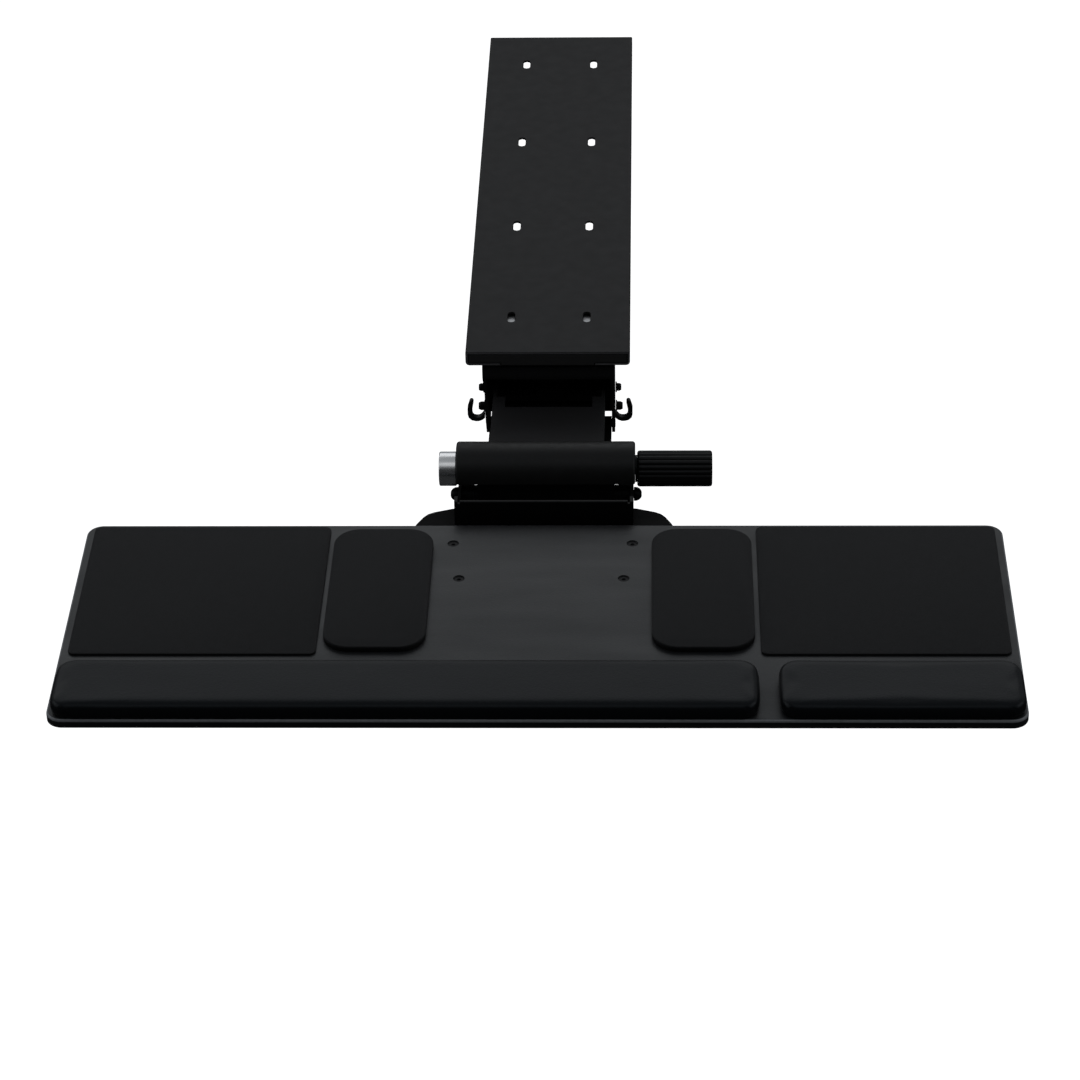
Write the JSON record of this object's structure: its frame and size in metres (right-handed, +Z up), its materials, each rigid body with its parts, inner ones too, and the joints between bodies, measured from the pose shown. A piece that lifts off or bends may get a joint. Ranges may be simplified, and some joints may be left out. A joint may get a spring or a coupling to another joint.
{
  "type": "under-desk keyboard tray",
  "caption": "Articulating under-desk keyboard tray: track, swivel, lifting arm with clamp knob, tilting board, mouse pads and padded palm rests.",
  "frame": {"origin": "centre of the flat top face of the slide track, the face that screws to the desk's underside", "axes": "+Z up, out of the track's top face; +Y towards the back of the desk, so the tray's front edge faces -Y; +X to the right of a person at the desk"},
  "size_m": [0.686, 0.9733, 0.1068],
  "materials": {
    "black_steel": "satin black powder coat on folded sheet steel",
    "black_plastic": "fine-grained black moulded plastic",
    "chrome": "polished, fine turning lines",
    "zinc_steel": "zinc-plated steel",
    "nylon": "natural nylon bearing material",
    "board_laminate": "dark grey laminate with a fine matt texture",
    "mat_fabric": "black woven mat surface on foam rubber",
    "palm_skin": "smooth black synthetic leather over gel foam"
  },
  "bodies": {
    "track": {"track_rail": "black_steel", "track_stop_front": "black_plastic", "track_stop_rear": "black_plastic"},
    "carriage": {"carriage_plate": "zinc_steel", "swivel_boss": "zinc_steel", "swivel_bolt": "zinc_steel", "swivel_nut": "zinc_steel", "glide_left": "nylon", "glide_right": "nylon"},
    "turntable": {"rear_bracket": "black_steel", "lift_shaft_screw_left": "black_steel", "lift_shaft_screw_right": "black_steel", "spring_shaft_screw_left": "black_steel", "spring_shaft_screw_right": "black_steel", "swivel_washer": "nylon", "lift_shaft": "black_steel", "spring_shaft": "black_steel", "link_shaft": "black_steel", "cable_hook_left": "black_plastic", "cable_hook_right": "black_plastic"},
    "arm": {"arm_channel": "black_steel", "lift_bush_left": "black_plastic", "lift_bush_right": "black_plastic", "lift_spring_left": "black_steel", "lift_spring_right": "black_steel"},
    "links": {"link_left": "black_steel", "link_right": "black_steel"},
    "head": {"head_bracket": "black_steel", "tilt_boss_left": "black_steel", "tilt_boss_right": "black_steel", "tilt_screw_left": "black_steel", "tilt_screw_right": "black_steel", "head_cover": "black_plastic", "clamp_rod": "zinc_steel", "clamp_spacer": "zinc_steel", "link_pin": "zinc_steel", "friction_disc_left": "nylon", "friction_disc_right": "nylon", "clamp_barrel": "chrome"},
    "knob": {"knob": "black_plastic", "knob_collar": "black_plastic"},
    "tray": {"tilt_bracket": "black_steel", "mounting_plate": "black_steel", "board_screw_1": "black_steel", "board_screw_2": "black_steel", "board_screw_3": "black_steel", "board_screw_4": "black_steel", "board_nut_1": "zinc_steel", "board_nut_2": "zinc_steel", "board_nut_3": "zinc_steel", "board_nut_4": "zinc_steel", "board": "board_laminate", "mouse_pad_left": "mat_fabric", "mouse_pad_right": "mat_fabric", "keyboard_pad_left": "mat_fabric", "keyboard_pad_right": "mat_fabric", "palm_rest_long": "palm_skin", "palm_rest_short": "palm_skin"}
  },
  "joints": [
    {"name": "track_slide", "type": "slide", "parent": "track", "child": "carriage", "axis": [0, 1, 0], "range_m": [0, 0.455]},
    {"name": "swivel", "type": "hinge", "parent": "carriage", "child": "turntable", "pos_m": [0, -0.23, -0.015], "axis": [0, 0, 1], "range_deg": [-90, 90]},
    {"name": "lift", "type": "hinge", "parent": "turntable", "child": "arm", "pos_m": [0, -0.232, -0.061], "axis": [1, 0, 0], "range_deg": [0, 45]},
    {"name": "link_swing", "type": "hinge", "parent": "turntable", "child": "links", "pos_m": [0, -0.224, -0.1], "axis": [1, 0, 0], "range_deg": [0, 45]},
    {"name": "head_level", "type": "hinge", "parent": "arm", "child": "head", "pos_m": [0, -0.369, -0.051], "axis": [1, 0, 0], "range_deg": [-45, 0]},
    {"name": "tilt", "type": "hinge", "parent": "head", "child": "tray", "pos_m": [0, -0.374, -0.071], "axis": [1, 0, 0], "range_deg": [-15, 15]},
    {"name": "knob_turn", "type": "hinge", "parent": "head", "child": "knob", "pos_m": [0.0702, -0.369, -0.051], "axis": [1, 0, 0], "range_deg": [0, 360]}
  ],
  "couplings": [
    {"joint": "link_swing", "follows": "lift", "ratio": 1},
    {"joint": "head_level", "follows": "lift", "ratio": -1}
  ]
}
